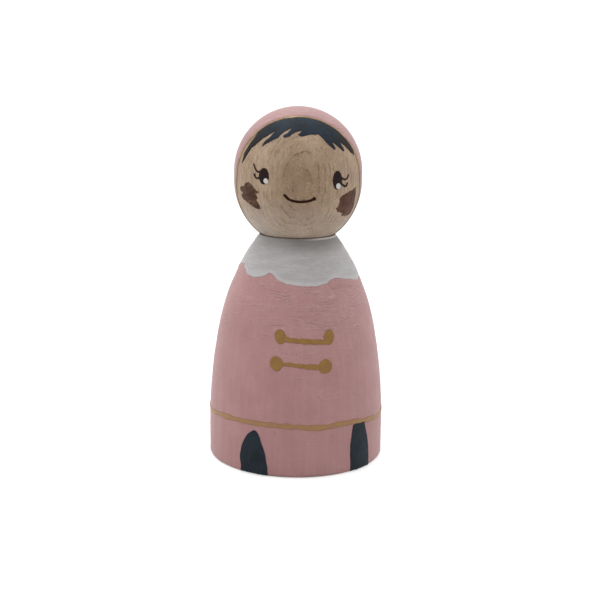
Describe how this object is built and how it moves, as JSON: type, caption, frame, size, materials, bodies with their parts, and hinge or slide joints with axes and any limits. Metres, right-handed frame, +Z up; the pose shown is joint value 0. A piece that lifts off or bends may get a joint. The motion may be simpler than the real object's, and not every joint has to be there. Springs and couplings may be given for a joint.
{
  "type": "peg doll",
  "caption": "Turned wooden peg doll: a round head doweled and glued to a bell-shaped body, hand-painted with a hooded coat, scalloped collar, toggles, boots and a smiling face.",
  "frame": {"origin": "middle of the flat base, on the surface that the doll stands on", "axes": "+Z up the doll's axis; the face looks towards -Y; left and right pieces are named as seen from the front, so left is -X"},
  "size_m": [0.0454, 0.0454, 0.0902],
  "materials": {
    "beech": "bare, fine-sanded beech with a growth-ring figure on the face",
    "pink_paint": "matt acrylic, brushed on thinly, with the grain showing through",
    "white_paint": "matt acrylic with level brush strokes",
    "gold_paint": "satin gold acrylic, hand-drawn",
    "dark_paint": "matt blue-black acrylic",
    "pen_ink": "dark brown paint pen",
    "cheek_ink": "thin brown paint pen, scribbled"
  },
  "bodies": {
    "root": {"body": "beech", "head": "beech", "neck_dowel": "beech", "coat_paint": "pink_paint", "collar_paint": "white_paint", "hem_line": "gold_paint", "upper_toggle": "gold_paint", "lower_toggle": "gold_paint", "left_boot": "dark_paint", "right_boot": "dark_paint", "hood_paint": "pink_paint", "hood_trim": "gold_paint", "hair_paint": "dark_paint", "left_eye": "pen_ink", "right_eye": "pen_ink", "left_glint": "white_paint", "right_glint": "white_paint", "mouth": "pen_ink", "left_cheek": "cheek_ink", "right_cheek": "cheek_ink"}
  },
  "joints": []
}
